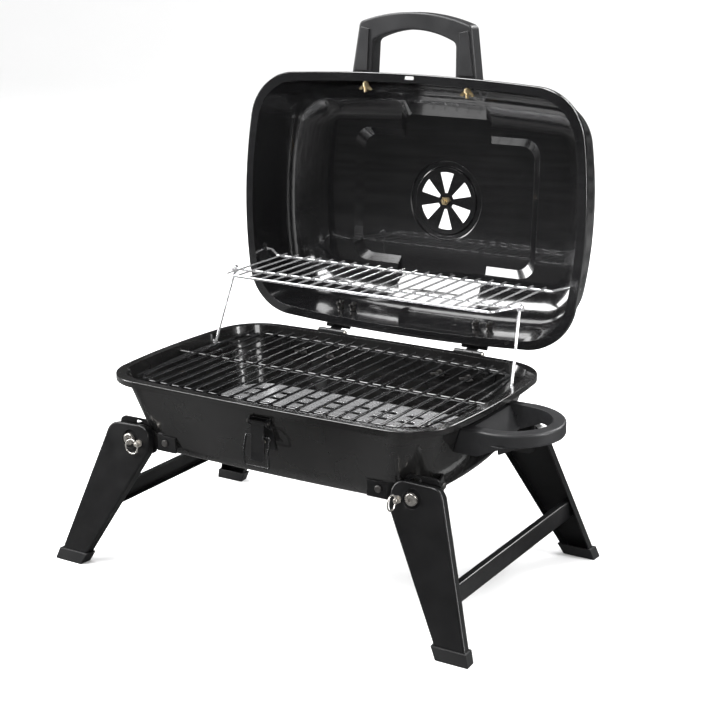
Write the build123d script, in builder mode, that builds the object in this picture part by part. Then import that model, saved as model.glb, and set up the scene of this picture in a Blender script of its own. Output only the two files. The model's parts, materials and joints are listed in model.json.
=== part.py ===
from build123d import *

import math
import os

# Folding camp grill, in millimetres, +Z up, standing open on its four legs.
# +X is the side-handle side and +Y is the hinge side.
# Bowl pieces are drawn about the point on the floor below the bowl's centre.
# Lid pieces are drawn as if the lid were shut: X and Y as for the bowl, with
# Z = 0 on the lid's rim. Each piece is moved into the open rest position when
# it is written.

# ---------------------------------------------------------------- dimensions
SHEET = 1.2
FIT = 0.08          # running clearance of a pin in its bore
GAP = 0.5           # clearance of a loose wire in its hole

# Pan outlines: half length, half width, bow of the short and long sides.
BOWL_SIZE = (217.0, 147.0, 12.0, 5.0)
LID_SIZE = (230.0, 155.0, 17.0, 9.0)
BOWL_CORNER = 57.0
LID_CORNER = 64.0
FLANGE = 9.0

BOWL_TOP = 224.0
BOWL_FLOOR = 131.0
BOWL_TAPER = 27.3   # how far the wall leans in from mouth to floor
BOWL_ROUND = 22.0
BOWL_LIP = 7.0

LID_DEPTH = 96.0
LID_TAPER = 10.8
LID_ROUND = 46.0
LID_LIP = 5.5
LID_PANEL_RISE = 6.0
VENT_Y = 3.0
VENT_RADIUS = 37.0
VENT_HUB = 8.0
VENT_RING = 51.0
VENT_RING_RISE = 2.4
VENT_SPOKES = 6

# Hinge line, the angle the lid stands open, and the rim's height when shut.
HINGE_Y = 161.7
HINGE_Z = 219.0
OPEN_ANGLE = 93.0
SHUT_RIM = BOWL_TOP + 0.5
HINGE_X = 94.5
KNUCKLE = 4.0
HINGE_PIN = 2.0
HINGE_PLATE = 1.8

# Warming rack links, as (y, z) in the open position.
RACK_HOOK = (195.0, 304.0)
RACK_ARM_TOP = (96.0, 300.0)
LINK = (RACK_HOOK[0] - HINGE_Y, RACK_HOOK[1] - HINGE_Z)
RACK_ARM_FOOT = (RACK_ARM_TOP[0] - LINK[0], RACK_ARM_TOP[1] - LINK[1])
RACK_WIRE = 1.6
RACK_BAR = 1.1
RACK_PITCH = 17.0
RACK_BARS = 22
RACK_FRONT = 62.6
RACK_BACK = 183.0
ARM_TOP_X = 190.5
ARM_FOOT_X = 198.8

GRATE_WIRE = 1.8
GRATE_BAR = 1.4
GRATE_PITCH = 17.0
GRATE_BARS = 22
GRATE_Z = 217.5
TRAY_Z = 160.0

# Legs: pivot bolt, splay of the centre line and lean of the broad face.
PIVOT_X = 182.0
PIVOT_Y = 125.0
PIVOT_Z = 149.0
LEG_LEAN = 13.8
LEG_SHEET = 1.5
LEG_DEPTH = 10.0
PIVOT_BOLT = 4.0
FOOT_HEIGHT = 12.5
FOOT_WALL = 2.0
LUG_Y = 110.0       # outer face of the bracket's pivot lug
LUG_SHEET = 2.5
LOCK_RADIUS = 15.0  # lock pin's distance from the pivot bolt
LOCK_PIN = 2.5
LOCK_START = 188.0  # lock pin's angle round the bolt, seen from outside
FOLD_ANGLE = 95.0
LOCK_X = PIVOT_X + LOCK_RADIUS * math.cos(math.radians(LOCK_START))
LOCK_Z = PIVOT_Z + LOCK_RADIUS * math.sin(math.radians(LOCK_START))
LOCK_TIP_Y = -107.0
LOCK_LENGTH = 27.5
RING_Y = -132.0
RING_RADIUS = 8.2
RING_WIRE = 0.9
RING_LEAN = 30.0    # how far the left ring hangs below level, against the bolt
CROSSBAR_X = 236.0
CROSSBAR_Z = 60.0
CROSSBAR_SIZE = (8.0, 22.0)

# Row origin: the middle of the whole grill's box, on the floor.
BOWL_CENTRE = (-9.91, -62.02)

# Where the rack's hooks pass through the lid's side walls, in the lid's own frame.
TURN = math.radians(OPEN_ANGLE)
HOOK_Y = HINGE_Y + LINK[0] * math.cos(TURN) - LINK[1] * math.sin(TURN)
HOOK_Z = HINGE_Z + LINK[0] * math.sin(TURN) + LINK[1] * math.cos(TURN) - SHUT_RIM

TO_ROW = Location((*BOWL_CENTRE, 0))
SHUT_LID = Location((0, 0, SHUT_RIM))
SWING = Pos(0, HINGE_Y, HINGE_Z) * Rot(-OPEN_ANGLE, 0, 0) * Pos(0, -HINGE_Y, -HINGE_Z)
OPEN_LID = SWING * SHUT_LID

os.makedirs("parts", exist_ok=True)


# ------------------------------------------------------------------- helpers
def write(piece, name, home=Location()):
    """Move a finished piece from its drawing position to the row's frame and write it."""
    placed = piece.moved(TO_ROW * home)
    placed.label = name
    export_step(placed, f"parts/{name}.step")


def pan_outline(size, inset, corner, height):
    """Rounded rectangle with gently bowed sides, at a height."""
    half_x, half_y, bow_x, bow_y = size
    x = half_x - bow_x - inset
    y = half_y - bow_y - inset
    with BuildSketch(Plane.XY.offset(height)) as sketch:
        with BuildLine():
            ThreePointArc((-x, -y), (0, inset - half_y), (x, -y))
            ThreePointArc((x, -y), (half_x - inset, 0), (x, y))
            ThreePointArc((x, y), (0, half_y - inset), (-x, y))
            ThreePointArc((-x, y), (inset - half_x, 0), (-x, -y))
        make_face()
        fillet(sketch.vertices(), corner)
    return sketch.sketch


def pan_block(size, mouth, end, rounding):
    """Solid between two outlines given as (inset, corner, height), rounded at the end."""
    with BuildPart() as block:
        loft([pan_outline(size, *mouth), pan_outline(size, *end)])
        end_face = block.faces().sort_by(lambda face: abs(face.center().Z - end[2]))[0]
        fillet(end_face.edges(), rounding)
    return block.part


def wire(points, radius, bend=None):
    """Round wire along a polyline whose corners are bent to a radius."""
    with BuildPart() as rod:
        with BuildLine() as path:
            if bend and len(points) > 2:
                FilletPolyline(*points, radius=bend)
            else:
                Polyline(*points)
        start = path.line @ 0
        with BuildSketch(Plane(start, z_dir=path.line % 0)):
            Circle(radius)
        sweep()
    return rod.part


def bolt(plane, length, radius, head_radius, head_height):
    """Pan-head bolt whose head sits on the plane's positive side."""
    with BuildPart() as screw:
        with BuildSketch(plane):
            Circle(head_radius)
        extrude(amount=head_height)
        fillet(screw.edges().sort_by(lambda edge: (edge.center() - plane.origin).dot(plane.z_dir))[-1],
               head_height * 0.6)
        with BuildSketch(plane):
            Circle(radius)
        extrude(amount=-length)
    return screw.part


def hex_nut(plane, bore, across=8.0, height=3.2):
    """Hexagon nut standing on a plane."""
    with BuildPart() as nut:
        with BuildSketch(plane):
            RegularPolygon(across / 2, 6, major_radius=False)
            Circle(bore, mode=Mode.SUBTRACT)
        extrude(amount=height)
    return nut.part


def wing_nut(plane, bore=2.0):
    """Two-winged thumb nut standing on a plane, wings along the plane's x direction."""
    hub, wing_reach, wing_top = 4.0, 9.5, 9.0
    side = Plane(plane.origin, x_dir=plane.x_dir, z_dir=plane.y_dir)
    with BuildPart() as nut:
        with BuildSketch(side) as wings:
            with BuildLine():
                Polyline((3, -1), (-3, -1), (-wing_reach, -wing_top + 1.5), (-wing_reach + 3.5, -wing_top),
                         (0, -4.5), (wing_reach - 3.5, -wing_top), (wing_reach, -wing_top + 1.5), (3, -1))
            make_face()
            fillet(wings.vertices(), 0.6)
        extrude(amount=0.8, both=True)
        with BuildSketch(plane):
            Circle(hub)
        extrude(amount=4.5)
        with BuildSketch(plane):
            Circle(bore)
        extrude(amount=12, mode=Mode.SUBTRACT)
    return nut.part


def polar(radius, angle):
    """Point at a radius and an angle in degrees."""
    return (radius * math.cos(math.radians(angle)), radius * math.sin(math.radians(angle)))


def wall_x(size, inset, height, y):
    """Half length of a pan's outer wall at a height above its mouth line and at y."""
    half_x, half_y, bow_x, bow_y = size
    return half_x - inset - bow_x * (y / (half_y - bow_y)) ** 2


def bowl_inset(height):
    """How far the bowl's outer wall stands in from the rim's edge at a height."""
    return FLANGE + BOWL_TAPER * (BOWL_TOP - height) / (BOWL_TOP - BOWL_FLOOR)


def bowl_wall_y(height, x):
    """Half width of the bowl's outer wall at a height and at x."""
    half_x, half_y, bow_x, bow_y = BOWL_SIZE
    return half_y - bowl_inset(height) - bow_y * (x / (half_x - bow_x)) ** 2


def lid_wall_y(height, x):
    """Half width of the lid's outer wall at a height above its rim and at x."""
    half_x, half_y, bow_x, bow_y = LID_SIZE
    return half_y - FLANGE - LID_TAPER * height / LID_DEPTH - bow_y * (x / (half_x - bow_x)) ** 2


# ---------------------------------------------------------------------- bowl
BOWL_BLOCK = pan_block(BOWL_SIZE, (FLANGE, 48, BOWL_TOP), (FLANGE + BOWL_TAPER, 40, BOWL_FLOOR), BOWL_ROUND)
BOWL_HOLLOW = pan_block(
    BOWL_SIZE,
    (FLANGE + SHEET, 47, BOWL_TOP),
    (FLANGE + BOWL_TAPER + 0.8, 39, BOWL_FLOOR + SHEET),
    BOWL_ROUND - SHEET,
)

HINGE_BOLT_Z = 200.7
HINGE_BOLT_SPREAD = 19.0
BRACKET_SCREW_FRONT = (138.0, 149.0)     # x, z of the screw through the front or back wall
BRACKET_SCREW_SIDE = (75.0, 149.0)       # y, z of the screw through the side wall
SIDE_SCREW_Y = 46.0
SIDE_SCREW_Z = 196.0
LATCH_X = 3.0
LATCH_SCREW_Z = 179.0
SCREW = 2.0

with BuildPart() as bowl:
    add(BOWL_BLOCK)
    with BuildSketch(Plane.XY.offset(BOWL_TOP)):
        add(pan_outline(BOWL_SIZE, 0, BOWL_CORNER, 0))
    extrude(amount=-SHEET)
    rim_edges = bowl.edges().group_by(Axis.Z)[-1]
    fillet(rim_edges, SHEET * 0.9)
    with BuildSketch(Plane.XY.offset(BOWL_TOP - SHEET)):
        add(pan_outline(BOWL_SIZE, 0, BOWL_CORNER, 0))
        add(pan_outline(BOWL_SIZE, SHEET, BOWL_CORNER - SHEET, 0), mode=Mode.SUBTRACT)
    extrude(amount=SHEET - BOWL_LIP)
    add(BOWL_HOLLOW, mode=Mode.SUBTRACT)
    for x in (-1, 1):
        for spread in (-1, 1):
            bolt_x = x * HINGE_X + spread * HINGE_BOLT_SPREAD
            with Locations(Location((bolt_x, 130, HINGE_BOLT_Z), (90, 0, 0))):
                Cylinder(SCREW, 14, mode=Mode.SUBTRACT)
        for y in (-1, 1):
            screw_x, screw_z = BRACKET_SCREW_FRONT
            with Locations(Location((x * screw_x, y * 112, screw_z), (90, 0, 0))):
                Cylinder(SCREW, 16, mode=Mode.SUBTRACT)
            screw_y, screw_z = BRACKET_SCREW_SIDE
            with Locations(Location((x * 182, y * screw_y, screw_z), (0, 90, 0))):
                Cylinder(SCREW, 16, mode=Mode.SUBTRACT)
        with Locations(Location((x * 204, RACK_ARM_FOOT[0], RACK_ARM_FOOT[1]), (0, 90, 0))):
            Cylinder(RACK_WIRE + GAP, 12, mode=Mode.SUBTRACT)
    for y in (-1, 1):
        with Locations(Location((200, y * SIDE_SCREW_Y, SIDE_SCREW_Z), (0, 90, 0))):
            Cylinder(SCREW, 16, mode=Mode.SUBTRACT)
    with Locations(Location((LATCH_X, -125, LATCH_SCREW_Z), (90, 0, 0))):
        Cylinder(SCREW, 20, mode=Mode.SUBTRACT)
write(bowl.part, "bowl")


# ------------------------------------------------------- cooking and charcoal
GRATE_INSET = 28.5
GRATE_STUB = 14.5     # how far the cross wire runs past the ring
BAR_Z = GRATE_Z + GRATE_WIRE + GRATE_BAR - 0.6

with BuildPart() as cooking_grate:
    with BuildSketch(Plane.XY.offset(GRATE_Z - GRATE_WIRE)):
        add(pan_outline(BOWL_SIZE, GRATE_INSET - GRATE_WIRE, BOWL_CORNER - GRATE_INSET, 0))
        add(pan_outline(BOWL_SIZE, GRATE_INSET + GRATE_WIRE, BOWL_CORNER - GRATE_INSET - 3.5, 0),
            mode=Mode.SUBTRACT)
    extrude(amount=2 * GRATE_WIRE)
    fillet(cooking_grate.edges(), GRATE_WIRE * 0.8)
    with Locations(Location((0, 0, GRATE_Z), (0, 90, 0))):
        Cylinder(GRATE_WIRE, 2 * wall_x(BOWL_SIZE, GRATE_INSET - GRATE_STUB, 0, 0))
    with BuildPart(mode=Mode.PRIVATE) as bars:
        with GridLocations(GRATE_PITCH, 1, GRATE_BARS, 1):
            with Locations(Location((0, 0, BAR_Z), (90, 0, 0))):
                Cylinder(GRATE_BAR, 280)
        extrude(pan_outline(BOWL_SIZE, 19, 48, BAR_Z - 5), amount=10, mode=Mode.INTERSECT)
    add(bars.part)
write(cooking_grate.part, "cooking_grate")

REST_X = 140.0
REST_TOP = GRATE_Z - GRATE_WIRE
with BuildPart() as grate_rests:
    wall_top = bowl_wall_y(REST_TOP, REST_X) - SHEET - 0.7
    wall_low = bowl_wall_y(REST_TOP - 15, REST_X) - SHEET - 0.7
    with BuildSketch(Plane.YZ.offset(REST_X)):
        with BuildLine():
            Polyline((110, REST_TOP), (wall_top, REST_TOP), (wall_low, REST_TOP - 15),
                     (wall_low - 1.5, REST_TOP - 15),
                     (wall_top - 1.9, REST_TOP - 1.5), (110, REST_TOP - 1.5), (110, REST_TOP))
        make_face()
    extrude(amount=6, both=True)
    mirror(about=Plane.XZ)
    mirror(about=Plane.YZ)
write(grate_rests.part, "grate_rests")

TRAY_SLOT = (24.0, 9.0)
TRAY_GRID = (36.0, 22.0, 9, 8)
TRAY_LEG_X = 148.0
with BuildPart() as charcoal_tray:
    extrude(pan_outline(BOWL_SIZE, 41, 36, TRAY_Z), amount=-SHEET)
    with BuildSketch(Plane.XY.offset(TRAY_Z)):
        with GridLocations(*TRAY_GRID):
            Trapezoid(TRAY_SLOT[0], TRAY_SLOT[1], 72)
    extrude(amount=-SHEET, mode=Mode.SUBTRACT)
    for x in (-TRAY_LEG_X, TRAY_LEG_X):
        with BuildSketch(Plane.YZ.offset(x - SHEET / 2)):
            with BuildLine():
                Polyline((-78, TRAY_Z - SHEET), (78, TRAY_Z - SHEET), (70, BOWL_FLOOR + SHEET + 0.05),
                         (-70, BOWL_FLOOR + SHEET + 0.05), (-78, TRAY_Z - SHEET))
            make_face()
        extrude(amount=SHEET)
write(charcoal_tray.part, "charcoal_tray")


# --------------------------------------------------------------- lid and vent
LID_BLOCK = pan_block(LID_SIZE, (FLANGE, 57, 0), (FLANGE + LID_TAPER, 58, LID_DEPTH), LID_ROUND)
LID_HOLLOW = pan_block(
    LID_SIZE,
    (FLANGE + SHEET, 56, 0),
    (FLANGE + LID_TAPER + SHEET, 57, LID_DEPTH - SHEET),
    LID_ROUND - SHEET,
)
PANEL_TOP = LID_DEPTH + LID_PANEL_RISE
# Half length and half width of a field's flat, its slopes' widths, corner, lowest height, middle y.
LID_FIELDS = (
    (119.0, 76.0, 14.0, 14.0, 22.0, LID_DEPTH - 4, VENT_Y),
    (61.0, 101.0, 7.0, 28.0, 12.0, LID_DEPTH - 16, 0.0),
)
HANDLE_SCREW_X = 68.0
HANDLE_SCREW_Z = 16.6
LID_BOLT_SPREAD = 9.0
LID_BOLT_Z = 27.7
CATCH_SLOT = (12.0, 4.0)


def raised_panel(shrink, drop):
    """Cross of two flat fields pressed outward from the lid, and the ring round the vent."""
    with BuildPart() as panel:
        for half_x, half_y, slope_x, slope_y, corner, base, middle in LID_FIELDS:
            with BuildSketch(Plane.XY.offset(base)):
                with Locations((0, middle)):
                    RectangleRounded(2 * (half_x + slope_x - shrink), 2 * (half_y + slope_y - shrink), corner)
            with BuildSketch(Plane.XY.offset(PANEL_TOP - drop)):
                with Locations((0, middle)):
                    RectangleRounded(2 * (half_x - shrink), 2 * (half_y - shrink), corner - 4)
            loft()
        with BuildSketch(Plane.XY.offset(PANEL_TOP - drop - 0.01)):
            with Locations((0, VENT_Y)):
                Circle(VENT_RING - shrink)
                Circle(VENT_RADIUS + 3 + shrink, mode=Mode.SUBTRACT)
        extrude(amount=VENT_RING_RISE, taper=35)
    return panel.part


def vent_openings(height):
    """Six wedge openings round the vent's hub."""
    inner = VENT_HUB + 2
    outer = VENT_RADIUS - 1.5
    with BuildSketch(Plane((0, VENT_Y, height))) as wedges:
        for spoke in range(VENT_SPOKES):
            middle = 90 + spoke * 360 / VENT_SPOKES
            corners = [polar(inner, middle - 12), polar(outer, middle - 16), polar(outer, middle + 16),
                       polar(inner, middle + 12)]
            with BuildLine():
                Line(corners[0], corners[1])
                ThreePointArc(corners[1], polar(outer, middle), corners[2])
                Line(corners[2], corners[3])
                Line(corners[3], corners[0])
            make_face()
    return wedges.sketch


with BuildPart() as lid:
    add(LID_BLOCK)
    add(raised_panel(0, 0))
    with BuildSketch(Plane.XY):
        add(pan_outline(LID_SIZE, 0, LID_CORNER, 0))
    extrude(amount=SHEET)
    rim_edges = lid.edges().group_by(Axis.Z)[0]
    fillet(rim_edges, SHEET * 0.9)
    with BuildSketch(Plane.XY.offset(SHEET)):
        add(pan_outline(LID_SIZE, 0, LID_CORNER, 0))
        add(pan_outline(LID_SIZE, SHEET, LID_CORNER - SHEET, 0), mode=Mode.SUBTRACT)
    extrude(amount=LID_LIP - SHEET)
    add(LID_HOLLOW, mode=Mode.SUBTRACT)
    add(raised_panel(SHEET, SHEET), mode=Mode.SUBTRACT)
    with BuildSketch(Plane((0, VENT_Y, PANEL_TOP))):
        Circle(VENT_RADIUS + 2)
    extrude(amount=-SHEET)
    extrude(vent_openings(PANEL_TOP - 3), amount=6, mode=Mode.SUBTRACT)
    with Locations((0, VENT_Y, PANEL_TOP)):
        Cylinder(SCREW, 8, mode=Mode.SUBTRACT)
    with BuildSketch(Plane.XY):
        with Locations((0, 4.5 - LID_SIZE[1])):
            RectangleRounded(*CATCH_SLOT, 1.2)
    extrude(amount=SHEET, mode=Mode.SUBTRACT)
    for x in (-HANDLE_SCREW_X, HANDLE_SCREW_X):
        with Locations(Location((x, -143, HANDLE_SCREW_Z), (90, 0, 0))):
            Cylinder(SCREW, 12, mode=Mode.SUBTRACT)
    for x in (-HINGE_X, HINGE_X):
        for spread in (-LID_BOLT_SPREAD, LID_BOLT_SPREAD):
            with Locations(Location((x + spread, 140, LID_BOLT_Z), (90, 0, 0))):
                Cylinder(SCREW, 14, mode=Mode.SUBTRACT)
    for x in (-1, 1):
        with Locations(Location((x * 213, HOOK_Y, HOOK_Z), (0, 90, 0))):
            Cylinder(RACK_WIRE + GAP, 14, mode=Mode.SUBTRACT)
write(lid.part, "lid", OPEN_LID)

DAMPER_RADIUS = VENT_RADIUS + 1.5
DAMPER_SHEET = 1.0
DAMPER_Z = PANEL_TOP + 0.35
with BuildPart() as vent_damper:
    with BuildSketch(Plane((0, VENT_Y, DAMPER_Z))):
        Circle(DAMPER_RADIUS)
        Circle(SCREW + FIT, mode=Mode.SUBTRACT)
    extrude(amount=DAMPER_SHEET)
    extrude(vent_openings(DAMPER_Z - 1), amount=4, mode=Mode.SUBTRACT)
    tab_angle = math.radians(90 + 180 / VENT_SPOKES)
    tab_middle = ((VENT_RADIUS - 8) * math.cos(tab_angle), VENT_Y + (VENT_RADIUS - 8) * math.sin(tab_angle))
    with BuildSketch(Plane((*tab_middle, DAMPER_Z), x_dir=(math.cos(tab_angle), math.sin(tab_angle), 0))):
        RectangleRounded(14, 2, 0.9)
    extrude(amount=11)
write(vent_damper.part, "vent_damper", OPEN_LID)

with BuildPart() as vent_screw:
    add(bolt(Plane((0, VENT_Y, DAMPER_Z + DAMPER_SHEET + 0.1)), 9, SCREW, 4.5, 2.4))
write(vent_screw.part, "vent_screw", OPEN_LID)

with BuildPart() as vent_nut:
    add(hex_nut(Plane((0, VENT_Y, PANEL_TOP - SHEET), z_dir=(0, 0, -1)), SCREW, 9))
write(vent_nut.part, "vent_nut", OPEN_LID)

HANDLE_BASE = (85.0, 56.0)      # outer and inner half width at the lid
HANDLE_TOP = (74.0, 54.5)       # outer and inner half width at the shoulders
HANDLE_SHOULDER = (212.0, 192.0)
HANDLE_CROWN = (225.0, 205.0)
HANDLE_Z = 8.0
HANDLE_THICK = 20.0
with BuildPart() as lid_handle:
    with BuildSketch(Plane.XY.offset(HANDLE_Z)) as arch:
        with BuildLine():
            Polyline((-HANDLE_TOP[0], -HANDLE_SHOULDER[0]), (-HANDLE_BASE[0], -138), (-HANDLE_BASE[1], -138),
                     (-HANDLE_TOP[1], -HANDLE_SHOULDER[1]))
            ThreePointArc((-HANDLE_TOP[1], -HANDLE_SHOULDER[1]), (0, -HANDLE_CROWN[1]),
                          (HANDLE_TOP[1], -HANDLE_SHOULDER[1]))
            Polyline((HANDLE_TOP[1], -HANDLE_SHOULDER[1]), (HANDLE_BASE[1], -138), (HANDLE_BASE[0], -138),
                     (HANDLE_TOP[0], -HANDLE_SHOULDER[0]))
            ThreePointArc((HANDLE_TOP[0], -HANDLE_SHOULDER[0]), (0, -HANDLE_CROWN[0]),
                          (-HANDLE_TOP[0], -HANDLE_SHOULDER[0]))
        make_face()
        fillet(arch.vertices().group_by(Axis.Y)[:2], 7)
    extrude(amount=HANDLE_THICK)
    fillet(lid_handle.faces().filter_by(Axis.Z).edges(), 2.5)
    with BuildSketch(Plane.XY.offset(HANDLE_Z - 1.6)):
        for x in (-1, 1):
            with BuildLine():
                Polyline((x * 79, -156), (x * 71, -206), (x * 60, -204), (x * 61, -156), (x * 79, -156))
            make_face()
    extrude(amount=2)
    add(LID_BLOCK, mode=Mode.SUBTRACT)
    for x in (-HANDLE_SCREW_X, HANDLE_SCREW_X):
        with Locations(Location((x, -150, HANDLE_SCREW_Z), (90, 0, 0))):
            Cylinder(SCREW, 26, mode=Mode.SUBTRACT)
write(lid_handle.part, "lid_handle", OPEN_LID)


HANDLE_STUD = 15.0
with BuildPart() as lid_handle_screws:
    for x in (-HANDLE_SCREW_X, HANDLE_SCREW_X):
        wall = -lid_wall_y(HANDLE_SCREW_Z, x)
        with Locations(Location((x, wall - HANDLE_STUD / 2 + 7, HANDLE_SCREW_Z), (90, 0, 0))):
            Cylinder(SCREW, HANDLE_STUD + 12)
write(lid_handle_screws.part, "lid_handle_screws", OPEN_LID)

with BuildPart() as lid_handle_wing_nuts:
    for x in (-HANDLE_SCREW_X, HANDLE_SCREW_X):
        wall = SHEET + 1.0 - lid_wall_y(HANDLE_SCREW_Z, x)
        add(wing_nut(Plane((x, wall, HANDLE_SCREW_Z), x_dir=(1, 0, 0), z_dir=(0, 1, 0)), SCREW))
write(lid_handle_wing_nuts.part, "lid_handle_wing_nuts", OPEN_LID)


# -------------------------------------------------------------------- hinges
KNUCKLE_END = 18.0
KNUCKLE_MIDDLE = 6.7


def knuckle(x_from, x_to, bore):
    """Rolled eye of a hinge leaf about the hinge line."""
    with BuildPart() as eye:
        with BuildSketch(Plane.YZ.offset(x_from)):
            with Locations((HINGE_Y, HINGE_Z)):
                Circle(KNUCKLE)
                Circle(bore, mode=Mode.SUBTRACT)
        extrude(amount=x_to - x_from)
    return eye.part


def bowl_leaf(x):
    """Fixed leaf: a plate bolted to the bowl's back wall that reaches out under the rim."""
    top = bowl_wall_y(208, x - HINGE_BOLT_SPREAD)
    low = bowl_wall_y(191, x - HINGE_BOLT_SPREAD)
    with BuildPart() as leaf:
        with BuildSketch(Plane.YZ.offset(x)):
            with BuildLine():
                Polyline((low - 3, 191), (top - 3, 208), (HINGE_Y - 2, HINGE_Z - KNUCKLE - 0.4),
                         (HINGE_Y, HINGE_Z - KNUCKLE + 1.4), (HINGE_Y + 2.5, HINGE_Z - KNUCKLE + 0.9),
                         (HINGE_Y - 1, HINGE_Z - KNUCKLE - 2.2), (top + HINGE_PLATE, 206.2),
                         (low + HINGE_PLATE, 191), (low - 3, 191))
            make_face()
        extrude(amount=27, both=True)
        with BuildSketch(Plane.XZ.offset(-(HINGE_Y + 10))):
            for side in (-1, 1):
                with Locations((x + side * 25, 221)):
                    Rectangle(14, 22.5)
            with Locations((x, 232)):
                Rectangle(2 * KNUCKLE_MIDDLE + 0.8, 36)
        extrude(amount=20, mode=Mode.SUBTRACT)
        add(BOWL_BLOCK, mode=Mode.SUBTRACT)
        with Locations(Location((x, HINGE_Y, HINGE_Z), (0, 90, 0))):
            Cylinder(HINGE_PIN, 60, mode=Mode.SUBTRACT)
        add(knuckle(x - KNUCKLE_END, x - KNUCKLE_MIDDLE - 0.4, HINGE_PIN))
        add(knuckle(x + KNUCKLE_MIDDLE + 0.4, x + KNUCKLE_END, HINGE_PIN))
        for spread in (-HINGE_BOLT_SPREAD, HINGE_BOLT_SPREAD):
            with Locations(Location((x + spread, 132, HINGE_BOLT_Z), (90, 0, 0))):
                Cylinder(SCREW, 16, mode=Mode.SUBTRACT)
    return leaf.part


def lid_leaf(x):
    """Moving leaf, drawn with the lid shut: a strap bolted to the lid's back wall."""
    eye_z = HINGE_Z - SHUT_RIM
    low = lid_wall_y(13, x - LID_BOLT_SPREAD)
    top = lid_wall_y(40, x - LID_BOLT_SPREAD)
    with BuildPart() as leaf:
        with BuildSketch(Plane.YZ.offset(x)):
            with BuildLine():
                Polyline((top - 3, 40), (low - 3, 13), (HINGE_Y - 5, 8.2),
                         (HINGE_Y - 2.6, eye_z + KNUCKLE - 1.2),
                         (HINGE_Y - 0.6, eye_z + KNUCKLE - 0.4), (HINGE_Y - 3, 10), (low + HINGE_PLATE, 15),
                         (top + HINGE_PLATE, 40), (top - 3, 40))
            make_face()
        extrude(amount=17, both=True)
        with BuildSketch(Plane.XZ.offset(-(HINGE_Y + 10))):
            for side in (-1, 1):
                with Locations((x + side * (KNUCKLE_MIDDLE + 10), -4)):
                    Rectangle(20, 24)
        extrude(amount=22, mode=Mode.SUBTRACT)
        add(LID_BLOCK, mode=Mode.SUBTRACT)
        with Locations(Location((x, HINGE_Y, eye_z), (0, 90, 0))):
            Cylinder(HINGE_PIN + FIT, 60, mode=Mode.SUBTRACT)
        with Locations((0, 0, -SHUT_RIM)):
            add(knuckle(x - KNUCKLE_MIDDLE, x + KNUCKLE_MIDDLE, HINGE_PIN + FIT))
        for spread in (-LID_BOLT_SPREAD, LID_BOLT_SPREAD):
            with Locations(Location((x + spread, 142, LID_BOLT_Z), (90, 0, 0))):
                Cylinder(SCREW, 16, mode=Mode.SUBTRACT)
    return leaf.part


def hinge_pin(x):
    """Pin with a rivet head at each end."""
    with BuildPart() as pin:
        with Locations(Location((x, HINGE_Y, HINGE_Z), (0, 90, 0))):
            Cylinder(HINGE_PIN, 2 * KNUCKLE_END + 2)
        for side in (-1, 1):
            with Locations(Location((x + side * (KNUCKLE_END + 0.8), HINGE_Y, HINGE_Z), (0, 90, 0))):
                Cylinder(3.2, 1.6)
    return pin.part


for side, x in (("left", -HINGE_X), ("right", HINGE_X)):
    fixed_leaf = bowl_leaf(HINGE_X) if x > 0 else mirror(bowl_leaf(HINGE_X), about=Plane.YZ)
    write(fixed_leaf, f"hinge_leaf_bowl_{side}")
    moving_leaf = lid_leaf(HINGE_X) if x > 0 else mirror(lid_leaf(HINGE_X), about=Plane.YZ)
    write(moving_leaf, f"hinge_leaf_lid_{side}", OPEN_LID)
    write(hinge_pin(x), f"hinge_pin_{side}")

with BuildPart() as hinge_bolts_bowl:
    for x in (HINGE_X - HINGE_BOLT_SPREAD, HINGE_X + HINGE_BOLT_SPREAD):
        head = bowl_wall_y(HINGE_BOLT_Z, HINGE_X - HINGE_BOLT_SPREAD) + HINGE_PLATE + 2.2
        add(bolt(Plane((x, head, HINGE_BOLT_Z), x_dir=(1, 0, 0), z_dir=(0, 1, 0)), 15, SCREW, 4, 2.4))
    mirror(about=Plane.YZ)
write(hinge_bolts_bowl.part, "hinge_bolts_bowl")

with BuildPart() as hinge_wing_nuts_bowl:
    for x in (HINGE_X - HINGE_BOLT_SPREAD, HINGE_X + HINGE_BOLT_SPREAD):
        wall = bowl_wall_y(HINGE_BOLT_Z - 4, x) - SHEET - 0.3
        add(wing_nut(Plane((x, wall, HINGE_BOLT_Z), x_dir=(1, 0, 0), z_dir=(0, -1, 0)), SCREW))
    mirror(about=Plane.YZ)
write(hinge_wing_nuts_bowl.part, "hinge_wing_nuts_bowl")

with BuildPart() as hinge_bolts_lid:
    for x in (HINGE_X - LID_BOLT_SPREAD, HINGE_X + LID_BOLT_SPREAD):
        head = lid_wall_y(LID_BOLT_Z, HINGE_X - LID_BOLT_SPREAD) + HINGE_PLATE + 0.6
        add(bolt(Plane((x, head, LID_BOLT_Z), x_dir=(1, 0, 0), z_dir=(0, 1, 0)), 15, SCREW, 4, 2.4))
    mirror(about=Plane.YZ)
write(hinge_bolts_lid.part, "hinge_bolts_lid", OPEN_LID)

with BuildPart() as hinge_wing_nuts_lid:
    for x in (HINGE_X - LID_BOLT_SPREAD, HINGE_X + LID_BOLT_SPREAD):
        wall = lid_wall_y(LID_BOLT_Z + 5, x) - SHEET - 0.3
        upright = Plane((x, wall, LID_BOLT_Z), x_dir=(0, 0, 1), z_dir=(0, -1, 0))
        add(wing_nut(upright, SCREW))
    mirror(about=Plane.YZ)
write(hinge_wing_nuts_lid.part, "hinge_wing_nuts_lid", OPEN_LID)


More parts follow.
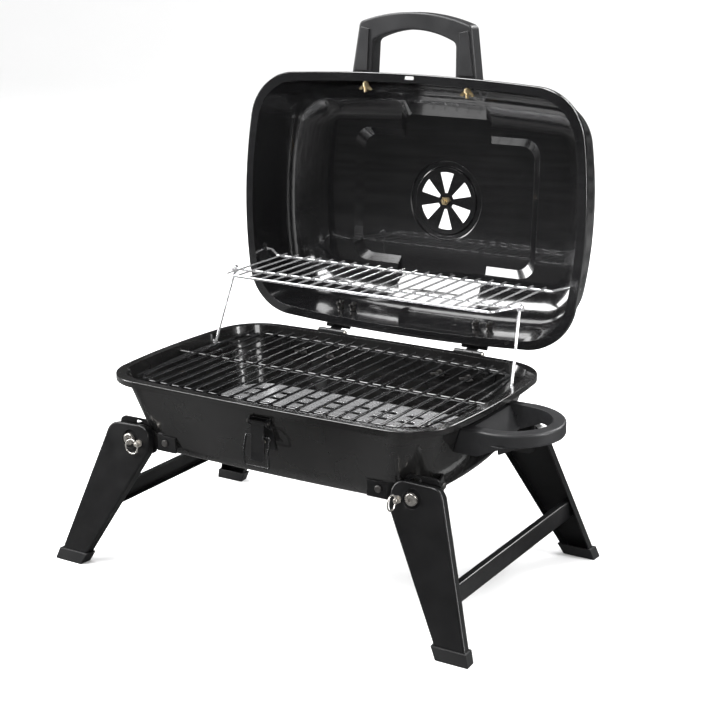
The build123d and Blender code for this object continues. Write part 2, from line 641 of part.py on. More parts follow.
# -------------------------------------------------------- warming rack, arms
HOOK_TIP = 218.0
RACK_LEVEL = RACK_ARM_TOP[1]
RACK_CORNER_X = 171.0
with BuildPart() as warming_rack:
    add(wire([(-RACK_CORNER_X - 14, RACK_ARM_TOP[0] - 3, RACK_LEVEL), (-RACK_CORNER_X, RACK_FRONT, RACK_LEVEL),
              (RACK_CORNER_X, RACK_FRONT, RACK_LEVEL), (RACK_CORNER_X + 14, RACK_ARM_TOP[0] - 3, RACK_LEVEL)],
             RACK_WIRE, 4))
    with Locations(Location((0, RACK_ARM_TOP[0], RACK_LEVEL), (0, 90, 0))):
        Cylinder(RACK_WIRE, 2 * ARM_TOP_X + 6)
    add(wire([(-HOOK_TIP, *RACK_HOOK), (-205, *RACK_HOOK), (-188, RACK_BACK, RACK_LEVEL),
              (188, RACK_BACK, RACK_LEVEL), (205, *RACK_HOOK), (HOOK_TIP, *RACK_HOOK)], RACK_WIRE, 4))
    bar_middle = (RACK_FRONT + RACK_BACK + 5) / 2
    with Locations((0, bar_middle, RACK_LEVEL + RACK_WIRE + RACK_BAR - 0.5)):
        with GridLocations(RACK_PITCH, 1, RACK_BARS, 1):
            with Locations(Location((0, 0, 0), (90, 0, 0))):
                Cylinder(RACK_BAR, RACK_BACK - RACK_FRONT + 7)
    for x in (-1, 1):
        with Locations(Location((x * (ARM_TOP_X + 3.5), RACK_ARM_TOP[0], RACK_LEVEL), (0, 90, 0))):
            Cylinder(RACK_WIRE + 1.4, 1.4)
write(warming_rack.part, "warming_rack")

ARM_WIRE = 1.5
EYE_RADIUS = RACK_WIRE + GAP + ARM_WIRE
with BuildPart() as rack_arm_right:
    top = Vector(ARM_TOP_X, *RACK_ARM_TOP)
    foot = Vector(ARM_FOOT_X, *RACK_ARM_FOOT)
    along = (foot - top).normalized()
    with BuildSketch(Plane(top + Vector(0, EYE_RADIUS, 0), z_dir=(0, 0, 1))):
        Circle(ARM_WIRE)
    revolve(axis=Axis(top, (1, 0, 0)))
    add(wire([top + along * EYE_RADIUS, foot, foot + Vector(9.5, 0, 0)], ARM_WIRE, 2.4))
write(rack_arm_right.part, "rack_arm_right")
write(mirror(rack_arm_right.part, about=Plane.YZ), "rack_arm_left")


# --------------------------------------------------------------- front latch
LATCH_BARREL = (-136.6, 203.5)      # y, z of the lever's hinge
LATCH_PIN = 1.2
BAIL_HINGE = (-137.4, 188.0)        # y, z of the bail's hinge on the lever
LEVER_LENGTH = 42.0
BAIL_WIRE = 1.2
BAIL_HALF = 15.5

with BuildPart() as latch_base:
    plate_top = -bowl_wall_y(208, LATCH_X)
    plate_low = -bowl_wall_y(170, LATCH_X)
    with BuildSketch(Plane.YZ.offset(LATCH_X)):
        with BuildLine():
            Polyline((plate_top + 3, 208), (plate_low + 3, 170), (plate_low - 1.4, 170),
                     (plate_top - 1.4, 208),
                     (plate_top + 3, 208))
        make_face()
    extrude(amount=13, both=True)
    add(BOWL_BLOCK, mode=Mode.SUBTRACT)
    for x in (-1, 1):
        with BuildSketch(Plane.YZ.offset(LATCH_X + x * 11.2 - 0.8)):
            with BuildLine():
                Polyline((plate_top - 0.5, 207), (LATCH_BARREL[0] - 1, 207), (LATCH_BARREL[0] - 3, 204),
                         (LATCH_BARREL[0] - 2, 200.5), (plate_top + 2.5, 195), (plate_top - 0.5, 207))
            make_face()
        extrude(amount=1.6)
    with Locations(Location((LATCH_X, *LATCH_BARREL), (0, 90, 0))):
        Cylinder(LATCH_PIN, 40, mode=Mode.SUBTRACT)
    with Locations(Location((LATCH_X, -130, LATCH_SCREW_Z), (90, 0, 0))):
        Cylinder(SCREW, 30, mode=Mode.SUBTRACT)
write(latch_base.part, "latch_base")

with BuildPart() as latch_pin:
    with Locations(Location((LATCH_X, *LATCH_BARREL), (0, 90, 0))):
        Cylinder(LATCH_PIN, 26)
    for x in (-1, 1):
        with Locations(Location((LATCH_X + x * 12.9, *LATCH_BARREL), (0, 90, 0))):
            Cylinder(2.2, 1.4)
write(latch_pin.part, "latch_pin")

with BuildPart() as latch_screw:
    inside = -bowl_wall_y(LATCH_SCREW_Z, LATCH_X) + SHEET
    head_plane = Plane((LATCH_X, inside + 1.4, LATCH_SCREW_Z), x_dir=(1, 0, 0), z_dir=(0, 1, 0))
    add(bolt(head_plane, 5.5, SCREW, 3.6, 2.0))
write(latch_screw.part, "latch_screw")

with BuildPart() as latch_lever:
    y, z = LATCH_BARREL
    with BuildSketch(Plane.YZ.offset(LATCH_X)) as profile:
        with BuildLine():
            Polyline((y - 1.5, z - 1), (y - 3.0, z - 10), (y - 2.2, z - LEVER_LENGTH + 8),
                     (y - 5, z - LEVER_LENGTH), (y - 3.6, z - LEVER_LENGTH - 0.6),
                     (y - 0.8, z - LEVER_LENGTH + 8), (y - 1.6, z - 10), (y - 0.1, z - 1), (y - 1.5, z - 1))
        make_face()
    extrude(amount=8.5, both=True)
    fillet(latch_lever.edges().filter_by(Axis.Y, tolerance=35).group_by(Axis.Z)[0], 2.0)
    with BuildSketch(Plane.YZ.offset(LATCH_X)):
        with Locations(LATCH_BARREL):
            Circle(2.5)
            Circle(LATCH_PIN + FIT, mode=Mode.SUBTRACT)
    extrude(amount=9.6, both=True)
    with Locations(Location((LATCH_X, *LATCH_BARREL), (0, 90, 0))):
        Cylinder(LATCH_PIN + FIT, 30, mode=Mode.SUBTRACT)
    for x in (-1, 1):
        with BuildSketch(Plane.YZ.offset(LATCH_X + x * 7.9 - 0.6)):
            with Locations(BAIL_HINGE):
                Circle(2.9)
                Circle(BAIL_WIRE + FIT, mode=Mode.SUBTRACT)
        extrude(amount=1.2)
    with Locations(Location((LATCH_X, *BAIL_HINGE), (0, 90, 0))):
        Cylinder(BAIL_WIRE + FIT, 30, mode=Mode.SUBTRACT)
write(latch_lever.part, "latch_lever")

with BuildPart() as latch_bail:
    y, z = BAIL_HINGE
    for x in (-1, 1):
        inner = LATCH_X + x * 5.5
        outer = LATCH_X + x * BAIL_HALF
        add(wire([(inner, y, z), (outer, y, z), (outer, y - 5, z - 18), (outer, y - 3, z - 33),
                  (LATCH_X, y - 3, z - 33)], BAIL_WIRE, 2))
write(latch_bail.part, "latch_bail")


# --------------------------------------------------------------- side handle
SIDE_TOP = 208.0
SIDE_LOW = 193.0
SIDE_REACH = 288.0
SIDE_BASE_X = 222.0
SIDE_HALF = 58.0
LOOP_WIDTH = 14.0


def loop_outline(inset, height):
    """D-shaped outline of the handle's loop, its flat side at the bowl."""
    half = SIDE_HALF - inset
    reach = SIDE_REACH - inset
    with BuildSketch(Plane.XY.offset(height)) as outline:
        with BuildLine():
            Polyline((SIDE_BASE_X, half), (190, half), (190, -half), (SIDE_BASE_X, -half))
            ThreePointArc((SIDE_BASE_X, -half), (SIDE_BASE_X + (reach - SIDE_BASE_X) * 0.72, -half * 0.72),
                          (reach, 0))
            ThreePointArc((reach, 0), (SIDE_BASE_X + (reach - SIDE_BASE_X) * 0.72, half * 0.72),
                          (SIDE_BASE_X, half))
        make_face()
    return outline.sketch


with BuildPart() as side_handle:
    extrude(loop_outline(0, SIDE_LOW), amount=SIDE_TOP - SIDE_LOW)
    fillet(side_handle.faces().filter_by(Axis.Z).edges(), 3)
    with BuildSketch(Plane.XZ.offset(SIDE_HALF)):
        with BuildLine():
            Polyline((190, SIDE_LOW + 4), (SIDE_BASE_X + 28, SIDE_LOW + 1.5), (SIDE_BASE_X - 2, 181),
                     (190, 181),
                     (190, SIDE_LOW + 4))
        make_face()
    extrude(amount=-2 * SIDE_HALF)
    extrude(loop_outline(LOOP_WIDTH, SIDE_TOP - 40), amount=60, mode=Mode.SUBTRACT)
    with BuildSketch(Plane.XZ.offset(SIDE_HALF - 6)):
        with BuildLine():
            Polyline((190, SIDE_TOP - 2), (207, SIDE_TOP - 2), (219, 184), (219, 181), (190, 181),
                     (190, SIDE_TOP - 2))
        make_face()
    extrude(amount=-2 * (SIDE_HALF - 6))
    add(BOWL_BLOCK, mode=Mode.SUBTRACT)
    for y in (-SIDE_SCREW_Y, SIDE_SCREW_Y):
        with Locations(Location((205, y, SIDE_SCREW_Z), (0, 90, 0))):
            Cylinder(SCREW, 22, mode=Mode.SUBTRACT)
write(side_handle.part, "side_handle")

with BuildPart() as side_handle_screws:
    for y in (-SIDE_SCREW_Y, SIDE_SCREW_Y):
        wall = wall_x(BOWL_SIZE, bowl_inset(SIDE_SCREW_Z), 0, y) - SHEET - 1.6
        add(bolt(Plane((wall, y, SIDE_SCREW_Z), x_dir=(0, 1, 0), z_dir=(-1, 0, 0)), 13, SCREW, 4, 2.2))
write(side_handle_screws.part, "side_handle_screws")


# ------------------------------------------------------------- leg brackets
TAB_LOW = 139.0
TAB_HIGH = 157.0
LUG_LOW = 130.0
LUG_HIGH = 169.0
BRACKET_SHEET = 2.5

with BuildPart() as leg_bracket_back_right:
    with BuildSketch(Plane.XY.offset(TAB_LOW)) as plan:
        with BuildLine():
            Polyline((124, 115.9), (148, 115.9), (158, LUG_Y - LUG_SHEET / 2), (206, LUG_Y - LUG_SHEET / 2),
                     (192, 89), (184.3, 64))
        trace(line_width=BRACKET_SHEET)
    extrude(amount=TAB_HIGH - TAB_LOW)
    with BuildSketch(Plane.XZ.offset(-LUG_Y)):
        with Locations(((157 + 207) / 2, (LUG_LOW + LUG_HIGH) / 2)):
            RectangleRounded(207 - 157, LUG_HIGH - LUG_LOW, 8)
    extrude(amount=LUG_SHEET)
    add(BOWL_BLOCK, mode=Mode.SUBTRACT)
    with Locations(Location((PIVOT_X, LUG_Y, PIVOT_Z), (90, 0, 0))):
        Cylinder(PIVOT_BOLT, 20, mode=Mode.SUBTRACT)
    with Locations(Location((BRACKET_SCREW_FRONT[0], 115, BRACKET_SCREW_FRONT[1]), (90, 0, 0))):
        Cylinder(SCREW, 20, mode=Mode.SUBTRACT)
    with Locations(Location((186, BRACKET_SCREW_SIDE[0], BRACKET_SCREW_SIDE[1]), (0, 90, 0))):
        Cylinder(SCREW, 20, mode=Mode.SUBTRACT)


def lock_slot(height):
    """Arc slot in the front lugs that the lock pin follows as the legs fold."""
    half = LOCK_PIN + GAP
    first = LOCK_START - FOLD_ANGLE - 2
    with BuildSketch(Plane((PIVOT_X, height, PIVOT_Z), x_dir=(1, 0, 0), z_dir=(0, -1, 0))) as slot:
        with BuildLine():
            inner = CenterArc((0, 0), LOCK_RADIUS - half, first, FOLD_ANGLE + 4)
            outer = CenterArc((0, 0), LOCK_RADIUS + half, first, FOLD_ANGLE + 4)
            RadiusArc(inner @ 1, outer @ 1, half + 0.001)
            RadiusArc(inner @ 0, outer @ 0, -half - 0.001)
        make_face()
    return slot.sketch


with BuildPart() as leg_bracket_front_right:
    add(mirror(leg_bracket_back_right.part, about=Plane.XZ))
    extrude(lock_slot(-LUG_Y), amount=12, both=True, mode=Mode.SUBTRACT)

for side in ("right", "left"):
    for end, bracket in (("front", leg_bracket_front_right), ("back", leg_bracket_back_right)):
        piece = bracket.part if side == "right" else mirror(bracket.part, about=Plane.YZ)
        write(piece, f"leg_bracket_{end}_{side}")


def four_corners(piece):
    """A piece at the back right corner, repeated at the other three."""
    with BuildPart() as group:
        add(piece)
        mirror(about=Plane.XZ)
        mirror(about=Plane.YZ)
    return group.part


FRONT_HEAD_Y = 115.9 + BRACKET_SHEET / 2 + 0.1
SIDE_HEAD_X = 190.6
with BuildPart() as corner_screws:
    x, z = BRACKET_SCREW_FRONT
    add(bolt(Plane((x, FRONT_HEAD_Y, z), x_dir=(1, 0, 0), z_dir=(0, 1, 0)), 14, SCREW, 4, 2.2))
    y, z = BRACKET_SCREW_SIDE
    add(bolt(Plane((SIDE_HEAD_X, y, z), x_dir=(0, 1, 0), z_dir=(1, 0, 0)), 18.5, SCREW, 4, 2.2))
write(four_corners(corner_screws.part), "bracket_screws")

with BuildPart() as corner_nuts:
    x, z = BRACKET_SCREW_FRONT
    wall = bowl_wall_y(z - 4, x) - SHEET - 1.6
    add(wing_nut(Plane((x, wall, z), x_dir=(1, 0, 0), z_dir=(0, -1, 0)), SCREW))
    y, z = BRACKET_SCREW_SIDE
    wall = wall_x(BOWL_SIZE, bowl_inset(z - 4), 0, y) - SHEET - 3.4
    add(wing_nut(Plane((wall, y, z), x_dir=(0, -1, 0), z_dir=(-1, 0, 0)), SCREW))
write(four_corners(corner_nuts.part), "bracket_nuts")


# ---------------------------------------------------------------------- legs
LEAN = math.radians(LEG_LEAN)
LEG_FACE = Plane((PIVOT_X, -PIVOT_Y, PIVOT_Z), x_dir=(1, 0, 0), z_dir=(0, -math.cos(LEAN), math.sin(LEAN)))
LEG_DOWN = PIVOT_Z / math.cos(LEAN) + 4      # length of the face below the bolt, past the floor
FOOT_INNER = 52.0 * LEG_DOWN / 153.4
FOOT_OUTER = 83.0 * LEG_DOWN / 153.4


def leg_outline(plane, inset=0.0):
    """Broad face of a leg: round-shouldered at the bolt, tapering to the foot."""
    with BuildSketch(plane) as face:
        with BuildLine():
            Polyline((-25.5, 17.5), (31, 16), (FOOT_OUTER, -LEG_DOWN), (FOOT_INNER, -LEG_DOWN),
                     (-26.5, -12), (-25.5, 17.5))
        make_face()
        fillet(face.vertices().sort_by(Axis.Y)[-2:], 15)
        fillet(face.vertices().sort_by(Axis.X)[0:2].sort_by(Axis.Y)[0:1], 12)
        if inset:
            offset(amount=-inset)
    return face.sketch


with BuildPart() as leg_front_right:
    extrude(leg_outline(LEG_FACE), amount=-LEG_DEPTH)
    outwards = lambda face: (face.center() - LEG_FACE.origin).dot(LEG_FACE.z_dir)
    fillet(leg_front_right.faces().sort_by(outwards)[-1].edges(), 2.4)
    extrude(leg_outline(LEG_FACE.offset(-LEG_SHEET), LEG_SHEET), amount=-LEG_DEPTH, mode=Mode.SUBTRACT)
    with BuildSketch(LEG_FACE.offset(-3.2)):
        Circle(12)
    extrude(amount=1.8)
    with BuildSketch(LEG_FACE):
        Circle(10.5)
    extrude(amount=-1.7, mode=Mode.SUBTRACT)
    split(bisect_by=Plane.XY.offset(2.5), keep=Keep.TOP)
    with Locations(Location((PIVOT_X, -PIVOT_Y, PIVOT_Z), (90, 0, 0))):
        Cylinder(PIVOT_BOLT + FIT, 30, mode=Mode.SUBTRACT)
    with Locations(Location((LOCK_X, -PIVOT_Y, LOCK_Z), (90, 0, 0))):
        Cylinder(LOCK_PIN + FIT, 12, mode=Mode.SUBTRACT)

with BuildPart() as foot_front_right:
    extrude(leg_outline(LEG_FACE.offset(FOOT_WALL), -FOOT_WALL), amount=-LEG_DEPTH - 2 * FOOT_WALL)
    split(bisect_by=Plane.XY, keep=Keep.TOP)
    split(bisect_by=Plane.XY.offset(FOOT_HEIGHT), keep=Keep.BOTTOM)
    with BuildPart(mode=Mode.PRIVATE) as socket:
        extrude(leg_outline(LEG_FACE), amount=-LEG_DEPTH)
        split(bisect_by=Plane.XY.offset(2.5), keep=Keep.TOP)
    add(socket.part, mode=Mode.SUBTRACT)

with BuildPart() as crossbar_right:
    width, height = CROSSBAR_SIZE
    with Locations((CROSSBAR_X, 0, CROSSBAR_Z)):
        Box(width, 2 * PIVOT_Y + 80, height)
    fillet(crossbar_right.edges().filter_by(Axis.Y).group_by(Axis.X)[-1], 2)
    split(bisect_by=LEG_FACE.offset(-LEG_SHEET), keep=Keep.BOTTOM)
    mirrored_face = Plane(
        (PIVOT_X, PIVOT_Y, PIVOT_Z), x_dir=(1, 0, 0), z_dir=(0, math.cos(LEAN), math.sin(LEAN))
    )
    split(bisect_by=mirrored_face.offset(-LEG_SHEET), keep=Keep.BOTTOM)
    with Locations((CROSSBAR_X - LEG_SHEET, 0, CROSSBAR_Z)):
        Box(width, 2 * PIVOT_Y + 22, height - 2 * LEG_SHEET, mode=Mode.SUBTRACT)

with BuildPart() as lock_pin_right:
    with Locations(Location((LOCK_X, LOCK_TIP_Y, LOCK_Z), (90, 0, 0))):
        Cylinder(LOCK_PIN, LOCK_LENGTH, align=(Align.CENTER, Align.CENTER, Align.MIN))
    with Locations(Location((LOCK_X, RING_Y + 4.6, LOCK_Z), (90, 0, 0))):
        Cylinder(4.0, 1.8, align=(Align.CENTER, Align.CENTER, Align.MIN))
    fillet(lock_pin_right.edges().group_by(Axis.Y)[0], 1.2)
    with Locations((LOCK_X, RING_Y, LOCK_Z)):
        Cylinder(RING_WIRE + GAP, 12, mode=Mode.SUBTRACT)
lock_pin_left = mirror(lock_pin_right.part, about=Plane.YZ)
lock_pin_left = lock_pin_left.rotate(Axis((-LOCK_X, 0, LOCK_Z), (0, 1, 0)), -RING_LEAN)

with BuildPart() as split_ring_right:
    with Locations(Location((LOCK_X, RING_Y - RING_RADIUS, LOCK_Z), (0, 90, 0))):
        Torus(RING_RADIUS, RING_WIRE)

with BuildPart() as split_ring_left:
    lean = math.radians(RING_LEAN)
    centre = (-LOCK_X - RING_RADIUS * math.cos(lean), RING_Y, LOCK_Z - RING_RADIUS * math.sin(lean))
    with Locations(Location(centre, (90, 0, 0))):
        Torus(RING_RADIUS, RING_WIRE)

write(lock_pin_right.part, "lock_pin_right")
write(lock_pin_left, "lock_pin_left")
write(split_ring_right.part, "split_ring_right")
write(split_ring_left.part, "split_ring_left")

leg_back_right = mirror(leg_front_right.part, about=Plane.XZ)
foot_back_right = mirror(foot_front_right.part, about=Plane.XZ)
RIGHT_SIDE = {
    "leg_front": leg_front_right.part,
    "leg_back": leg_back_right,
    "foot_cap_front": foot_front_right.part,
    "foot_cap_back": foot_back_right,
    "crossbar": crossbar_right.part,
}
for name, piece in RIGHT_SIDE.items():
    write(piece, f"{name}_right")
    write(mirror(piece, about=Plane.YZ), f"{name}_left")

HEAD_Y = PIVOT_Y + 0.4
with BuildPart() as corner_bolt:
    head_plane = Plane((PIVOT_X, HEAD_Y, PIVOT_Z), x_dir=(1, 0, 0), z_dir=(0, 1, 0))
    add(bolt(head_plane, 25.5, PIVOT_BOLT, 7.0, 3.6))
    with BuildSketch(Plane((PIVOT_X, HEAD_Y + 3.6, PIVOT_Z), x_dir=(1, 0, 0), z_dir=(0, 1, 0))):
        RegularPolygon(2.6, 6)
    extrude(amount=-2, mode=Mode.SUBTRACT)
write(four_corners(corner_bolt.part), "pivot_bolts")

with BuildPart() as corner_sleeve:
    with BuildSketch(Plane((PIVOT_X, LUG_Y, PIVOT_Z), x_dir=(1, 0, 0), z_dir=(0, 1, 0))):
        Circle(6.5)
        Circle(PIVOT_BOLT, mode=Mode.SUBTRACT)
    extrude(amount=9.4)
write(four_corners(corner_sleeve.part), "pivot_sleeves")

with BuildPart() as corner_lock_nut:
    inner_face = Plane((PIVOT_X, LUG_Y - LUG_SHEET, PIVOT_Z), x_dir=(1, 0, 0), z_dir=(0, -1, 0))
    add(hex_nut(inner_face, PIVOT_BOLT, 12, 5))
write(four_corners(corner_lock_nut.part), "pivot_nuts")
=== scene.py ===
import bpy
import bmesh
import json
import math
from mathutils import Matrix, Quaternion, Vector

# Folding camp grill, standing open. Metres, +Z up, +X the side-handle side.
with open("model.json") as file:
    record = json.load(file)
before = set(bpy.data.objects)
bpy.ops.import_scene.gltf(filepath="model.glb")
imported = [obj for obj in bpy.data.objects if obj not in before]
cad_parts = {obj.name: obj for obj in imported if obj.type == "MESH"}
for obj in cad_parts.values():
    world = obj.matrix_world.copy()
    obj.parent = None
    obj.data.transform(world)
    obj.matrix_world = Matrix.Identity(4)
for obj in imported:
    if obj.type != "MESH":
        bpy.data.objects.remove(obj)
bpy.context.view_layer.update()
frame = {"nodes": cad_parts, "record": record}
NODES = frame["nodes"]
RECORD = frame["record"]
SLOT_OF = {part["node"]: part["material_slot"] for part in RECORD["subparts"]}


# ------------------------------------------------------------------ materials
class Shader:
    """A Principled material and short calls for its procedural nodes."""

    def __init__(self, name, metallic=0.0, coat=0.0, coat_roughness=0.05, specular=0.5):
        self.material = bpy.data.materials.new(name)
        self.material.use_nodes = True
        self.tree = self.material.node_tree
        self.bsdf = self.tree.nodes["Principled BSDF"]
        self.bsdf.inputs["Metallic"].default_value = metallic
        self.bsdf.inputs["Coat Weight"].default_value = coat
        self.bsdf.inputs["Coat Roughness"].default_value = coat_roughness
        self.bsdf.inputs["Specular IOR Level"].default_value = specular
        self.place = self.tree.nodes.new("ShaderNodeTexCoord").outputs["Object"]

    def node(self, kind, **values):
        made = self.tree.nodes.new(kind)
        for key, value in values.items():
            setattr(made, key, value)
        return made

    def link(self, out, into):
        self.tree.links.new(out, into)

    def stretched(self, scale):
        """Object coordinates stretched along an axis, for brushed or drawn marks."""
        mapping = self.node("ShaderNodeMapping")
        mapping.inputs["Scale"].default_value = scale
        self.link(self.place, mapping.inputs["Vector"])
        return mapping.outputs["Vector"]

    def noise(self, scale, detail=3.0, roughness=0.55, where=None):
        made = self.node("ShaderNodeTexNoise")
        made.inputs["Scale"].default_value = scale
        made.inputs["Detail"].default_value = detail
        made.inputs["Roughness"].default_value = roughness
        self.link(where or self.place, made.inputs["Vector"])
        return made.outputs["Fac"]

    def cells(self, scale):
        """Distance to the nearest of many scattered points."""
        made = self.node("ShaderNodeTexVoronoi")
        made.inputs["Scale"].default_value = scale
        self.link(self.place, made.inputs["Vector"])
        return made.outputs["Distance"]

    def ramp(self, fac, low, high, start=0.3, end=0.7):
        """Greys or colours between two ends of a factor."""
        made = self.node("ShaderNodeValToRGB")
        made.color_ramp.elements[0].position = start
        made.color_ramp.elements[1].position = end
        made.color_ramp.elements[0].color = self.colour(low)
        made.color_ramp.elements[1].color = self.colour(high)
        self.link(fac, made.inputs["Fac"])
        return made.outputs["Color"]

    @staticmethod
    def colour(value):
        if isinstance(value, (int, float)):
            value = (value, value, value)
        return (*value, 1.0)

    def mix(self, fac, a, b):
        made = self.node("ShaderNodeMix", data_type="RGBA")
        self.link(fac, made.inputs["Factor"])
        self.link(a, made.inputs["A"])
        self.link(b, made.inputs["B"])
        return made.outputs["Result"]

    def softened(self, radius):
        """Normals rounded over sharp edges."""
        bevel = self.node("ShaderNodeBevel", samples=4)
        bevel.inputs["Radius"].default_value = radius
        return bevel.outputs["Normal"]

    def edges(self, radius):
        """1 on sharp edges, 0 on flat faces."""
        geometry = self.node("ShaderNodeNewGeometry")
        dot = self.node("ShaderNodeVectorMath", operation="DOT_PRODUCT")
        self.link(self.softened(radius), dot.inputs[0])
        self.link(geometry.outputs["Normal"], dot.inputs[1])
        span = self.node("ShaderNodeMapRange")
        span.inputs["From Min"].default_value = 0.995
        span.inputs["From Max"].default_value = 0.80
        self.link(dot.outputs["Value"], span.inputs["Value"])
        return span.outputs["Result"]

    def base(self, out):
        self.link(out, self.bsdf.inputs["Base Color"])

    def roughness(self, out):
        self.link(out, self.bsdf.inputs["Roughness"])

    def bump(self, *layers, radius=0.0):
        """Bump from (height, strength, distance) layers, over softened edges if asked."""
        normal = self.softened(radius) if radius else None
        for height, strength, distance in layers:
            made = self.node("ShaderNodeBump")
            made.inputs["Strength"].default_value = strength
            made.inputs["Distance"].default_value = distance
            self.link(height, made.inputs["Height"])
            if normal is not None:
                self.link(normal, made.inputs["Normal"])
            normal = made.outputs["Normal"]
        self.link(normal, self.bsdf.inputs["Normal"])


def enamel(name):
    """Glossy black porcelain enamel over pressed sheet: slow waves and orange peel."""
    s = Shader(name, coat=1.0, coat_roughness=0.02, specular=0.7)
    patches = s.noise(9.0, 4.0)
    s.base(s.ramp(patches, (0.004, 0.004, 0.0043), (0.008, 0.008, 0.0085)))
    s.roughness(s.ramp(s.noise(60.0, 5.0), 0.12, 0.22))
    s.bump((s.noise(9.0, 2.0), 0.30, 0.004), (s.noise(420.0, 2.0), 0.04, 0.0003), radius=0.0006)
    return s.material


def satin_enamel(name):
    """The bowl: the same enamel with a slightly duller, slowly waving skin."""
    s = Shader(name, coat=0.9, coat_roughness=0.06, specular=0.35)
    s.base(s.ramp(s.noise(14.0, 4.0), (0.0035, 0.0034, 0.0034), (0.0065, 0.0063, 0.0062)))
    s.roughness(s.ramp(s.noise(22.0, 3.0), 0.22, 0.30))
    s.bump((s.noise(7.0, 0.0), 0.25, 0.004), radius=0.0006)
    return s.material


def satin_paint(name):
    """Satin black paint, with a painted highlight in lighter grey along the pressed edges, broken
    into patches by noise.
    """
    s = Shader(name, coat=0.55, coat_roughness=0.12, specular=0.22)
    tone = s.ramp(s.noise(30.0, 4.0), (0.0028, 0.0028, 0.0030), (0.0060, 0.0060, 0.0064))
    # painted highlight: lighter grey on the pressed edges in the base colour, shown only in noise
    # patches
    painted_edge_highlight = s.ramp(s.edges(0.0012), (0.005, 0.005, 0.0053), (0.060, 0.060, 0.062), 0.1, 1.0)
    highlight_patches = s.ramp(s.noise(160.0, 3.0), 0.0, 0.8, 0.45, 0.7)
    s.base(s.mix(highlight_patches, tone, painted_edge_highlight))
    s.roughness(s.ramp(s.noise(45.0, 5.0), 0.30, 0.46))
    s.bump((s.noise(900.0, 2.0), 0.10, 0.0003), radius=0.0008)
    return s.material


def wire_enamel(name):
    """Dipped glossy black enamel on wire."""
    s = Shader(name, coat=1.0, coat_roughness=0.04)
    s.base(s.ramp(s.noise(40.0, 3.0), (0.003, 0.003, 0.0033), (0.006, 0.006, 0.0064)))
    s.roughness(s.ramp(s.noise(120.0, 3.0), 0.14, 0.26))
    s.bump((s.noise(190.0, 2.0), 0.12, 0.0005))
    return s.material


def plated(name, low, high, rough_low, rough_high, drawn=(1.0, 1.0, 1.0), metallic=0.85):
    """Plated metal with drawn or rolled marks and a little tarnish."""
    s = Shader(name, metallic=metallic)
    marks = s.noise(220.0, 4.0, where=s.stretched(drawn))
    s.base(s.mix(s.noise(35.0, 3.0), s.ramp(marks, low, high), s.ramp(s.noise(8.0, 2.0), low, high)))
    s.roughness(s.ramp(s.noise(70.0, 4.0), rough_low, rough_high))
    s.bump((marks, 0.05, 0.0004), radius=0.0003)
    return s.material


GRAIN = 1500.0       # moulded pits per metre


def moulded(name, low, high, rough_low, rough_high):
    """Fine-grained moulded plastic, slightly shinier in patches."""
    s = Shader(name, specular=0.45)
    s.base(s.ramp(s.noise(18.0, 4.0), low, high))
    s.roughness(s.ramp(s.noise(26.0, 3.0), rough_low, rough_high))
    s.bump((s.cells(GRAIN), 0.16, 0.0003), (s.noise(GRAIN * 0.6, 2.0), 0.14, 0.0003), radius=0.0010)
    return s.material


MATERIALS = {
    "black_enamel": enamel("black_enamel_gloss"),
    "black_paint": satin_paint("black_satin_paint"),
    "tray_steel": plated("tray_steel_plate", (0.48, 0.48, 0.49), (0.74, 0.74, 0.75), 0.18, 0.30,
                         drawn=(1.0, 12.0, 12.0), metallic=0.75),
    "grate_wire": wire_enamel("grate_wire_enamel"),
    "chrome_wire": plated("chrome_wire_plate", (0.62, 0.62, 0.63), (0.84, 0.84, 0.85), 0.12, 0.24,
                          metallic=0.82),
    "black_wire": wire_enamel("latch_wire_enamel"),
    "handle_plastic": moulded("handle_plastic_grain", (0.008, 0.008, 0.0088), (0.016, 0.016, 0.0172),
                              0.38, 0.52),
    "foot_plastic": moulded("foot_plastic_grain", (0.006, 0.006, 0.0065), (0.012, 0.012, 0.0125),
                            0.40, 0.55),
    "brass_plate": plated("brass_plate", (0.50, 0.37, 0.18), (0.78, 0.63, 0.38), 0.18, 0.34),
    "zinc_plate": plated("zinc_plate", (0.40, 0.37, 0.33), (0.66, 0.63, 0.58), 0.20, 0.38),
}
DARK_NICKEL = plated("dark_nickel_plate", (0.045, 0.043, 0.040), (0.16, 0.155, 0.15), 0.22, 0.40)
NICKEL = plated("nickel_plate", (0.42, 0.40, 0.37), (0.72, 0.70, 0.66), 0.14, 0.28)
FINISH_OF = {
    "bowl": satin_enamel("bowl_enamel_satin"),
    "hinge_bolts_bowl": DARK_NICKEL,
    "hinge_bolts_lid": DARK_NICKEL,
    "hinge_wing_nuts_bowl": DARK_NICKEL,
    "hinge_wing_nuts_lid": DARK_NICKEL,
    "bracket_screws": DARK_NICKEL,
    "bracket_nuts": DARK_NICKEL,
    "latch_pin": DARK_NICKEL,
    "split_ring_left": NICKEL,
    "split_ring_right": NICKEL,
    "pivot_bolts": plated("worn_nickel_plate", (0.16, 0.15, 0.14), (0.46, 0.44, 0.41), 0.20, 0.36),
}


def dress(piece, material):
    """Give every slot of a piece one material."""
    if not piece.data.materials:
        piece.data.materials.append(material)
    for index in range(len(piece.data.materials)):
        piece.data.materials[index] = material


for name, piece in NODES.items():
    dress(piece, FINISH_OF.get(name) or MATERIALS[SLOT_OF[name]])


# ---------------------------------------------------------------------- stage
def studio_white(name, shown, mirrored):
    """White paper sweep that glossy surfaces see as a darker studio."""
    s = Shader(name, specular=0.2)
    direct = s.ramp(s.noise(1.2, 2.0), shown, shown * 0.985)
    reflected = s.ramp(s.noise(2.6, 1.0), mirrored * 0.25, mirrored * 2.2, 0.36, 0.64)
    s.base(s.mix(s.node("ShaderNodeLightPath").outputs["Is Glossy Ray"], direct, reflected))
    s.roughness(s.ramp(s.noise(4.0, 2.0), 0.8, 0.9))
    return s.material


BEND_STEPS = 16


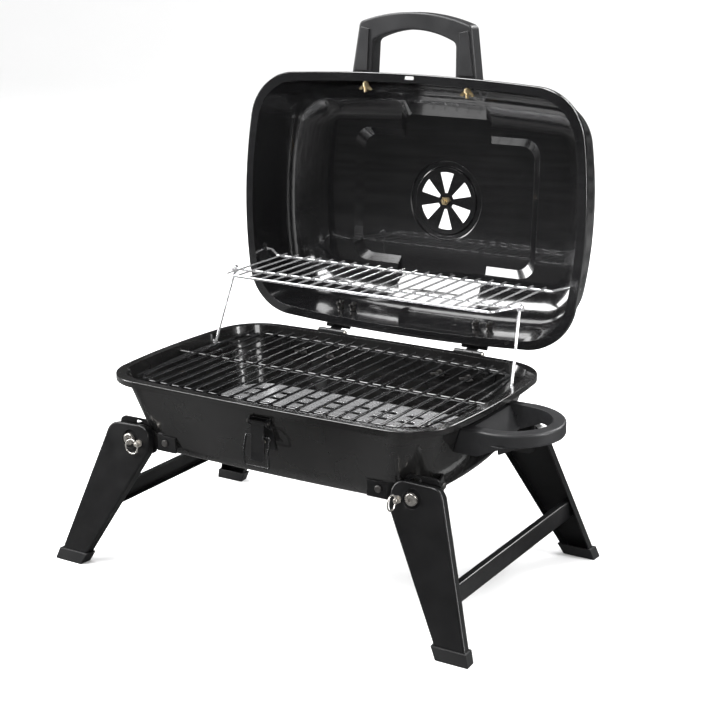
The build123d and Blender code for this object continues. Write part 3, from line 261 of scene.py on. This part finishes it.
def sweep_floor(width, front, back, height, bend):
    """Floor that curves up into a backdrop behind the object."""
    mesh = bpy.data.meshes.new("studio_floor")
    form = bmesh.new()
    line = [(front, 0.0), (back - bend, 0.0)]
    for step in range(1, BEND_STEPS + 1):
        angle = math.pi / 2 * step / BEND_STEPS
        line.append((back - bend + bend * math.sin(angle), bend - bend * math.cos(angle)))
    line.append((back, height))
    rows = [[form.verts.new((side * width, y, z)) for side in (-1, 1)] for y, z in line]
    for near, far in zip(rows, rows[1:]):
        form.faces.new((near[0], near[1], far[1], far[0]))
    form.to_mesh(mesh)
    form.free()
    floor = bpy.data.objects.new("studio_floor", mesh)
    bpy.context.scene.collection.objects.link(floor)
    for face in mesh.polygons:
        face.use_smooth = True
    return floor


floor = sweep_floor(width=9.0, front=-9.0, back=6.0, height=7.0, bend=2.5)
floor.location.z = -0.0005      # just under the feet, so the two faces never share a plane
dress(floor, studio_white("studio_paper", 0.93, 0.05))

MIDDLE = (0.0, 0.0, 0.28)      # inside the open grill, near its middle


def softbox(name, place, size, power):
    """Rectangular studio light aimed at the grill's middle."""
    data = bpy.data.lights.new(name, "AREA")
    data.shape = "RECTANGLE"
    data.size, data.size_y = size
    data.energy = power
    lamp = bpy.data.objects.new(name, data)
    bpy.context.scene.collection.objects.link(lamp)
    lamp.location = place
    lamp.rotation_mode = "QUATERNION"
    lamp.rotation_quaternion = (Vector(MIDDLE) - Vector(place)).to_track_quat("-Z", "Y")


softbox("light_top", (-0.7, -0.5, 2.0), (2.1, 1.0), 88)
softbox("light_left", (-2.2, -0.9, 1.1), (0.6, 2.0), 60)
softbox("light_right", (2.1, 0.3, 1.1), (0.4, 2.0), 52)
softbox("light_front", (1.6, -2.5, 1.7), (0.7, 0.7), 14)
softbox("light_back", (0.9, 2.2, 1.9), (1.6, 0.6), 60)


def studio_world(shown, mirrored):
    """Even pale surroundings that are dim in reflections."""
    world = bpy.data.worlds.new("studio")
    world.use_nodes = True
    tree = world.node_tree
    background = tree.nodes["Background"]
    path = tree.nodes.new("ShaderNodeLightPath")
    level = tree.nodes.new("ShaderNodeMapRange")
    level.inputs["To Min"].default_value = shown
    level.inputs["To Max"].default_value = mirrored
    tree.links.new(path.outputs["Is Glossy Ray"], level.inputs["Value"])
    tree.links.new(level.outputs["Result"], background.inputs["Strength"])
    background.inputs["Color"].default_value = (1.0, 1.0, 1.0, 1.0)
    bpy.context.scene.world = world


studio_world(1.0, 0.03)
bpy.context.scene.view_settings.view_transform = "Standard"

# --------------------------------------------------------------------- camera
EYE = Vector((0.9049, -1.4812, 0.7261))
AIM = Vector((0.0342, -0.0620, 0.2390))
ROLL = Quaternion((0.0, 0.0, 1.0), math.radians(-0.21))
LENS = 78.92
SENSOR = 36.0
SHIFT = (0.0005, 0.0052)
camera_data = bpy.data.cameras.new("camera")
camera_data.lens = LENS
camera_data.sensor_width = SENSOR
camera_data.shift_x, camera_data.shift_y = SHIFT
camera = bpy.data.objects.new("camera", camera_data)
bpy.context.scene.collection.objects.link(camera)
camera.location = EYE
camera.rotation_mode = "QUATERNION"
camera.rotation_quaternion = (AIM - EYE).to_track_quat("-Z", "Y") @ ROLL
bpy.context.scene.camera = camera
